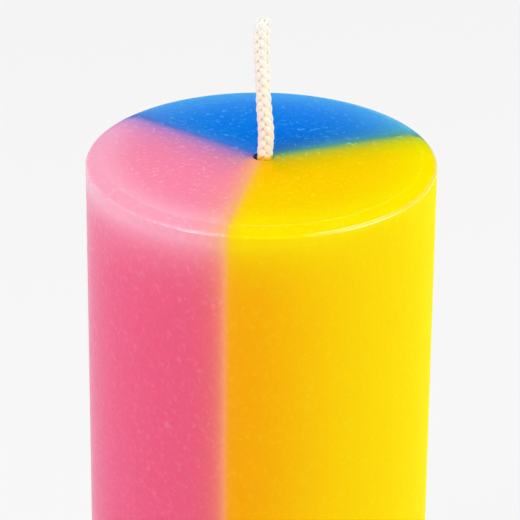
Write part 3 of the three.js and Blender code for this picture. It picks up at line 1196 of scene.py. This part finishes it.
    def build(self, cotton: bpy.types.Material) -> list[bpy.types.Object]:
        """Plaits the strands.

        Args:
            cotton: their material.

        Returns:
            The strands, each a plain mesh, in the order of the CAD nodes.
        """
        tree = self.tree(cotton)
        items = tree.interface.items_tree
        sockets = {item.name: item.identifier for item in items if item.in_out == "INPUT"}
        spine = self.spine()
        strands = []
        for number in range(self.strand_count):
            way = 1.0 if number % 2 == 0 else -1.0
            modifier = spine.modifiers.new("plait", "NODES")
            modifier.node_group = tree
            modifier[sockets["Way"]] = way
            modifier[sockets["Start Angle"]] = (2 * (number // 2) + way / 2) * self.pair_angle
            modifier[sockets["Seed"]] = number + 1
            evaluated = spine.evaluated_get(bpy.context.evaluated_depsgraph_get())
            mesh = bpy.data.meshes.new_from_object(evaluated)
            spine.modifiers.remove(modifier)
            mesh.name = f"cotton_strand_{number + 1}"
            strand = bpy.data.objects.new(mesh.name, mesh)
            bpy.context.scene.collection.objects.link(strand)
            strands.append(strand)
        bpy.data.objects.remove(spine)
        return strands


@dataclass(frozen=True)
class TinPlate:
    """Thin steel sheet with a tin coating, rolled and stamped.

    It is a bright, slightly yellowish grey metal, with fine rolling lines in one direction and
    soft cloudy patches where the tin has set.
    """

    name: str = "tin-plated steel sheet, stamped"
    bright: str = "d6d6d2"
    dull: str = "b2b1ac"
    line_spacing: float = 0.12
    line_length: float = 12.0
    line_share: float = 0.3
    tone_band: tuple[float, float] = (0.35, 0.65)
    roughness: tuple[float, float] = (0.22, 0.42)
    cloud_size: float = 3.0

    def material(self) -> bpy.types.Material:
        """Builds the tin plate as a node material."""
        material, tree = new_material(self.name)
        place = add_node(tree, "ShaderNodeTexCoord").outputs["Object"]
        place = add_node(tree, VECTOR_MATH, [place, 1 / MM], operation="SCALE")
        stretch = (1 / self.line_length, 1 / self.line_spacing, 1 / self.line_spacing)
        rolled = add_node(tree, VECTOR_MATH, [place, stretch], operation="MULTIPLY")
        lines = add_node(
            tree, "ShaderNodeTexNoise", {"Vector": rolled, "Scale": 1.0, "Detail": 1.0}
        ).outputs["Fac"]
        clouds = add_node(
            tree, "ShaderNodeTexNoise", {"Vector": place, "Scale": 1 / self.cloud_size, "Detail": 3.0}
        ).outputs["Fac"]
        tone = add_node(tree, MATH, [clouds, 1 - self.line_share], operation="MULTIPLY")
        tone = add_node(tree, MATH, [lines, self.line_share, tone], operation="MULTIPLY_ADD")
        tone = add_node(
            tree,
            MAP_RANGE,
            {"Value": tone, "From Min": self.tone_band[0], "From Max": self.tone_band[1]},
        )
        colour = add_node(tree, MIX, [tone, linear(self.bright), linear(self.dull)], data_type="RGBA")
        roughness = add_node(
            tree, MAP_RANGE, {"Value": tone, "To Min": self.roughness[0], "To Max": self.roughness[1]}
        )
        bump = add_node(
            tree, "ShaderNodeBump", {"Strength": 0.3, "Distance": 0.004 * MM, "Height": lines}
        )
        surface = {"Base Color": colour, "Metallic": 1.0, "Roughness": roughness, "Normal": bump}
        surface = add_node(tree, "ShaderNodeBsdfPrincipled", surface)
        add_node(tree, "ShaderNodeOutputMaterial", [surface])
        return material


@dataclass
class Sustainer:
    """The stamped disc that holds the wick's lower end in a crimped neck. Sizes in millimetres."""

    tab_radius: float = 10
    tab_underside: float = 0.4
    sheet: float = 0.35
    neck_top: float = 6.4
    neck_inner_radius: float = 1.595
    fillet: float = 0.8
    crimp_depth: float = 0.25
    crimp_count: int = 4
    crimp_turn: float = 105
    edge_rounding: float = 0.08
    facets: int = 160

    def profile(self) -> list[tuple[float, float]]:
        """Lists the sheet's section as radius and height, round from the neck's inner top edge."""
        inner, outer = self.neck_inner_radius, self.neck_inner_radius + self.sheet
        low, high = self.tab_underside, self.tab_underside + self.sheet
        small = self.edge_rounding
        centre = (outer + self.fillet, high + self.fillet)
        points = arc((inner + small, self.neck_top - small), small, 90, 180, 3)
        points += [(inner, z) for z in np.linspace(self.neck_top - small, centre[1], 12)[1:]]
        points += arc(centre, self.fillet + self.sheet, 180, 270, 8)[1:]
        points += [(r, low) for r in np.linspace(centre[0], self.tab_radius - small, 5)[1:]]
        points += arc((self.tab_radius - small, low + small), small, -90, 0, 3)[1:]
        points += arc((self.tab_radius - small, high - small), small, 0, 90, 3)
        points += [(r, high) for r in np.linspace(self.tab_radius - small, centre[0], 5)[1:]]
        points += arc(centre, self.fillet, 270, 180, 8)[1:]
        points += [(outer, z) for z in np.linspace(centre[1], self.neck_top - small, 12)[1:]]
        points += arc((outer - small, self.neck_top - small), small, 0, 90, 3)[1:]
        return points

    def build(self, tin: bpy.types.Material) -> bpy.types.Object:
        """Stamps the sustainer.

        Args:
            tin: its material.

        Returns:
            Its piece.
        """
        outline = np.array(self.profile())
        size = len(outline)
        start = self.tab_underside + self.sheet + self.fillet
        pressed = smooth_step(outline[:, 1], start, self.neck_top)
        rings = []
        for angle in np.linspace(0, 2 * math.pi, self.facets, endpoint=False):
            swing = math.cos(self.crimp_count * (angle - math.radians(self.crimp_turn)))
            reach = outline[:, 0] - self.crimp_depth * (0.5 + 0.5 * swing) ** 2 * pressed
            rings.append(
                np.stack([reach * math.cos(angle), reach * math.sin(angle), outline[:, 1]], axis=1)
            )
        faces = ring_faces(size, self.facets, self.facets)
        piece = mesh_piece("tin_sustainer", np.concatenate(rings), faces)
        piece.data.materials.append(tin)
        return piece


@dataclass
class Studio:
    """The camera, the pale sweep and the soft lamps. Sizes in millimetres."""

    lens: float = 226.1
    sensor: float = 36
    pitch: float = 26.2
    roll: float = 0.0084
    aim: tuple[float, float, float] = (0.13, 20.61, 650.0)
    aim_height: float = 150
    floor_reach: float = 4000
    floor_gap: float = 0.02
    floor_glow: float = 0.7
    surround: float = 0.53
    lamp_aim: float = 110

    def camera(self) -> None:
        """Sets the camera where the photograph was taken from."""
        pitch = math.radians(self.pitch)
        right = Vector((1, 0, 0))
        up = Vector((0, math.sin(pitch), math.cos(pitch)))
        forward = Vector((0, math.cos(pitch), -math.sin(pitch)))
        place = Vector((0, 0, self.aim_height)) - right * self.aim[0] - up * self.aim[1]
        place = place - forward * self.aim[2]
        across = right * math.cos(self.roll) + up * math.sin(self.roll)
        upward = up * math.cos(self.roll) - right * math.sin(self.roll)
        lens = bpy.data.cameras.new("camera")
        lens.sensor_width = self.sensor
        lens.lens = self.lens
        lens.clip_start = 10 * MM
        lens.clip_end = 20
        camera = bpy.data.objects.new("camera", lens)
        turned = Matrix((across, upward, -forward)).transposed().to_4x4()
        camera.matrix_world = Matrix.Translation(place * MM) @ turned
        bpy.context.scene.collection.objects.link(camera)
        bpy.context.scene.camera = camera

    def surroundings(self) -> None:
        """Lights the world evenly, and shows it as the pale backdrop where it is seen."""
        world = bpy.data.worlds.new("white surround")
        world.use_nodes = True
        tree = world.node_tree
        tree.nodes.clear()
        ray = add_node(tree, "ShaderNodeLightPath")
        seen = [ray.outputs["Is Camera Ray"], ray.outputs["Is Transmission Ray"]]
        seen = add_node(tree, MATH, seen, operation="MAXIMUM")
        strength = add_node(tree, MAP_RANGE, {"Value": seen, "To Min": self.surround, "To Max": 1.0})
        glow = add_node(
            tree, "ShaderNodeBackground", {"Color": linear("f5f5f5"), "Strength": strength.outputs[0]}
        )
        add_node(tree, "ShaderNodeOutputWorld", [glow])
        bpy.context.scene.world = world

    def sweep(self) -> None:
        """Lays the pale floor, which keeps a soft shadow of the candle."""
        material, tree = new_material("matt paper sweep")
        ray = add_node(tree, "ShaderNodeLightPath")
        seen = [ray.outputs["Is Camera Ray"], ray.outputs["Is Glossy Ray"]]
        seen = add_node(tree, MATH, seen, operation="MAXIMUM")
        seen = add_node(tree, MATH, [seen, ray.outputs["Is Transmission Ray"]], operation="MAXIMUM")
        share = add_node(tree, MATH, [seen, self.floor_glow], operation="MULTIPLY")
        paper = add_node(tree, "ShaderNodeBsdfDiffuse", {"Color": linear("e6e6e6")})
        glow = add_node(tree, "ShaderNodeEmission", {"Color": linear("ffffff"), "Strength": 1.0})
        mixed = add_node(tree, "ShaderNodeMixShader", [share, paper, glow])
        add_node(tree, "ShaderNodeOutputMaterial", [mixed])
        mesh = bpy.data.meshes.new("sweep")
        reach = self.floor_reach * MM
        level = -self.floor_gap * MM
        corners = [(x * reach, y * reach, level) for x, y in ((-1, -1), (1, -1), (1, 1), (-1, 1))]
        mesh.from_pydata(corners, [], [(0, 1, 2, 3)])
        floor = bpy.data.objects.new("sweep", mesh)
        floor.data.materials.append(material)
        bpy.context.scene.collection.objects.link(floor)

    def lamp(
        self,
        name: str,
        azimuth: float,
        elevation: float,
        distance: float,
        size: tuple[float, float],
        power: float,
    ) -> None:
        """Hangs one soft lamp that looks at the candle's top.

        Args:
            name: its name.
            azimuth: where it stands, in degrees from +X towards +Y.
            elevation: how high, in degrees above the candle's top.
            distance: how far from the candle's top, in millimetres.
            size: its width and height, in millimetres.
            power: its power in watts.
        """
        light = bpy.data.lights.new(name, "AREA")
        light.shape = "RECTANGLE"
        light.size = size[0] * MM
        light.size_y = size[1] * MM
        light.energy = power
        lamp = bpy.data.objects.new(name, light)
        a, e = math.radians(azimuth), math.radians(elevation)
        away = Vector((math.cos(a) * math.cos(e), math.sin(a) * math.cos(e), math.sin(e)))
        lamp.location = (Vector((0, 0, self.lamp_aim)) + away * distance) * MM
        lamp.rotation_euler = away.to_track_quat("Z", "Y").to_euler()
        bpy.context.scene.collection.objects.link(lamp)

    def lamps(self) -> None:
        """Hangs the lamps."""
        self.lamp("right softbox", -17, 17, 900, (640, 340), 3.92)
        self.lamp("left softbox", 226, 23, 900, (480, 320), 3.29)
        self.lamp("top softbox", 90, 80, 900, (900, 900), 3.18)

    def build(self) -> None:
        """Sets up the whole studio."""
        self.camera()
        self.surroundings()
        self.sweep()
        self.lamps()
        bpy.context.scene.view_settings.view_transform = "Standard"


def main() -> None:
    """Builds the candle's pieces and the studio round it."""
    logging.basicConfig(level=logging.INFO, format="%(name)s: %(message)s")
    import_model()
    Studio().build()
    body = WaxBody()
    finishes = {
        Pour.PINK: PouredWax(
            name="pink dyed paraffin, poured",
            side="e74476",
            seam_shade="e74a78",
            plateau="f37b9b",
            core="ef7595",
            rim="f69db7",
            bleeds=(
                Bleed("5844a5", "5274cb", (4.7, 6.0, 3.8)), Bleed("f49850", "f5b65a", (2.0, 1.9, 3.0))
            ),
            bloom="fdd0de",
            bloom_on_top=0.26,
            bloom_on_side=0.14,
            scatter=(1.0, 0.45, 0.5),
            side_gloss=0.62,
            rim_depth=3.3,
            rim_reach=5.7,
            polished_from=-24.0,
            polish_fade=12.0,
            edge_highlight_paint=0.45,
            scratches=(
                Scratch((-29.6, -18.0, 149.4), (-28.8, -15.9, 149.6)),
                Scratch((-28.8, -15.9, 149.6), (-27.3, -15.3, 150.0)),
                Scratch((-30.3, -14.6, 149.8), (-29.3, -12.7, 150.0), strength=0.2),
            ),
        ),
        Pour.YELLOW: PouredWax(
            name="yellow dyed paraffin, poured",
            side="ffd700",
            seam_shade="f6ac00",
            plateau="ffc400",
            core="ffb000",
            rim="ffda00",
            bleeds=(
                Bleed("f49850", "f5b65a", (2.0, 1.1, 0.5)), Bleed("44886b", "569e85", (5.3, 3.4, 1.15))
            ),
            bloom="fff02a",
            bloom_on_top=0.4,
            bloom_on_side=0.14,
            scatter=(1.0, 0.8, 0.15),
            side_gloss=0.07,
            core_reach=12.0,
            rim_depth=2.9,
            rim_reach=7.0,
            side_reach=5.5,
            polished_from=7.0,
            edge_highlight_paint=0.12,
            lip_highlight_paint=0.05,
            scratches=(Scratch((27.4, 9.9, 150.0), (28.4, 10.6, 150.0)),),
        ),
        Pour.BLUE: PouredWax(
            name="blue dyed paraffin, poured",
            side="0061ce",
            seam_shade="0061ce",
            plateau="006cdf",
            core="0044cc",
            rim="4ca3e9",
            bleeds=(
                Bleed("44886b", "569e85", (1.8, 1.6, 4.4)), Bleed("5844a5", "5274cb", (1.25, 6.5, 6.0))
            ),
            bloom="62acff",
            bloom_on_top=0.5,
            bloom_on_side=0.12,
            scatter=(0.15, 0.5, 1.0),
            side_gloss=0.06,
            top_gloss=0.005,
            rim_reach=5.8,
            rim_falloff=1.2,
            scratches=(Scratch((28.2, 11.1, 150.0), (30.4, 12.5, 149.8), width=0.35, strength=0.6),),
        ),
    }
    for pour, finish in finishes.items():
        piece = body.build(pour)
        piece.data.materials.append(finish.material(pour, body))
        place_piece(piece, pour.node)
    for number, strand in enumerate(PlaitedWick().build(BleachedCotton().material()), start=1):
        place_piece(strand, f"wick_strand_{number}")
    place_piece(Sustainer().build(TinPlate().material()), "wick_sustainer")


if __name__ == "__main__":
    main()
